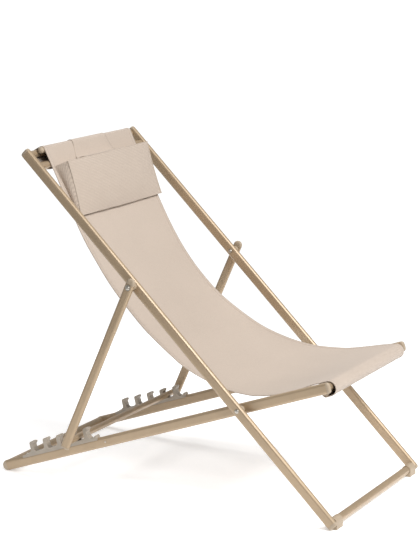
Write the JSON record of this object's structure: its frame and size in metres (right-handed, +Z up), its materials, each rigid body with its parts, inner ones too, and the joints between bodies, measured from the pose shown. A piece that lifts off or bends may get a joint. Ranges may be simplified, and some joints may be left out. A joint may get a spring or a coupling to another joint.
{
  "type": "folding beach chair",
  "caption": "Low folding sling beach chair: crossed flat-oval tube frames, a swinging rear prop that hooks into notched racks to set the back angle, and a flip-up head pillow.",
  "frame": {"origin": "on the floor, under the middle of the chair's outline", "axes": "+Z up, the sitter faces -Y, +X is the sitter's left-hand side"},
  "size_m": [0.6634, 1.0367, 0.9286],
  "materials": {
    "powder_coat": "satin sand powder coat",
    "cap_plastic": "fine matt moulding, sand grey",
    "rack_plastic": "fine matt moulding, grey beige",
    "zinc_steel": "dull zinc plate",
    "sling_cloth": "plain fine weave, warm greige",
    "pillow_cloth": "open diagonal weave, warm greige"
  },
  "bodies": {
    "back_frame": {"back_rail_left": "powder_coat", "back_rail_right": "powder_coat", "rail_top_cap_left": "cap_plastic", "rail_top_cap_right": "cap_plastic", "rail_foot_cap_left": "cap_plastic", "rail_foot_cap_right": "cap_plastic", "foot_pad_left": "cap_plastic", "foot_pad_right": "cap_plastic", "pivot_bolt_left": "zinc_steel", "pivot_bolt_right": "zinc_steel", "pivot_nut_left": "zinc_steel", "pivot_nut_right": "zinc_steel", "pivot_spacer_left": "cap_plastic", "pivot_spacer_right": "cap_plastic", "prop_bolt_left": "zinc_steel", "prop_bolt_right": "zinc_steel", "prop_nut_left": "zinc_steel", "prop_nut_right": "zinc_steel", "prop_spacer_left": "cap_plastic", "prop_spacer_right": "cap_plastic", "prop_washer_left": "zinc_steel", "prop_washer_right": "zinc_steel", "top_bar": "powder_coat", "lower_top_bar": "powder_coat", "sling_rod_top": "cap_plastic", "foot_bar": "powder_coat", "sling_back": "sling_cloth", "pillow_strap": "sling_cloth"},
    "seat_frame": {"seat_rail_left": "powder_coat", "seat_rail_right": "powder_coat", "seat_front_cap_left": "cap_plastic", "seat_front_cap_right": "cap_plastic", "rear_foot_left": "cap_plastic", "rear_foot_right": "cap_plastic", "seat_rivet_left": "zinc_steel", "seat_rivet_right": "zinc_steel", "rack_left": "rack_plastic", "rack_right": "rack_plastic", "front_bar": "powder_coat", "rear_bar": "powder_coat", "sling_rod_front": "cap_plastic", "sling_seat": "sling_cloth", "rack_screw_left_1": "zinc_steel", "rack_screw_left_2": "zinc_steel", "rack_screw_right_1": "zinc_steel", "rack_screw_right_2": "zinc_steel"},
    "prop": {"prop_leg_left": "powder_coat", "prop_leg_right": "powder_coat", "prop_top_cap_left": "cap_plastic", "prop_top_cap_right": "cap_plastic", "prop_foot_cap_left": "cap_plastic", "prop_foot_cap_right": "cap_plastic", "prop_bar_end_left": "powder_coat", "prop_bar_end_right": "powder_coat", "prop_bar": "powder_coat"},
    "pillow": {"head_pillow": "pillow_cloth"}
  },
  "joints": [
    {"name": "seat_fold", "type": "hinge", "parent": "back_frame", "child": "seat_frame", "pos_m": [0, -0.2289, 0.28191], "axis": [1, 0, 0], "range_deg": [0, 60]},
    {"name": "prop_swing", "type": "hinge", "parent": "back_frame", "child": "prop", "pos_m": [0, 0.08246, 0.58343], "axis": [1, 0, 0], "range_deg": [0, 104]},
    {"name": "pillow_flip", "type": "hinge", "parent": "back_frame", "child": "pillow", "pos_m": [0, 0.3377, 0.889], "axis": [1, 0, 0], "range_deg": [-90, 0]}
  ],
  "couplings": [
    {"joint": "prop_swing", "follows": "seat_fold", "ratio": 1.73}
  ]
}
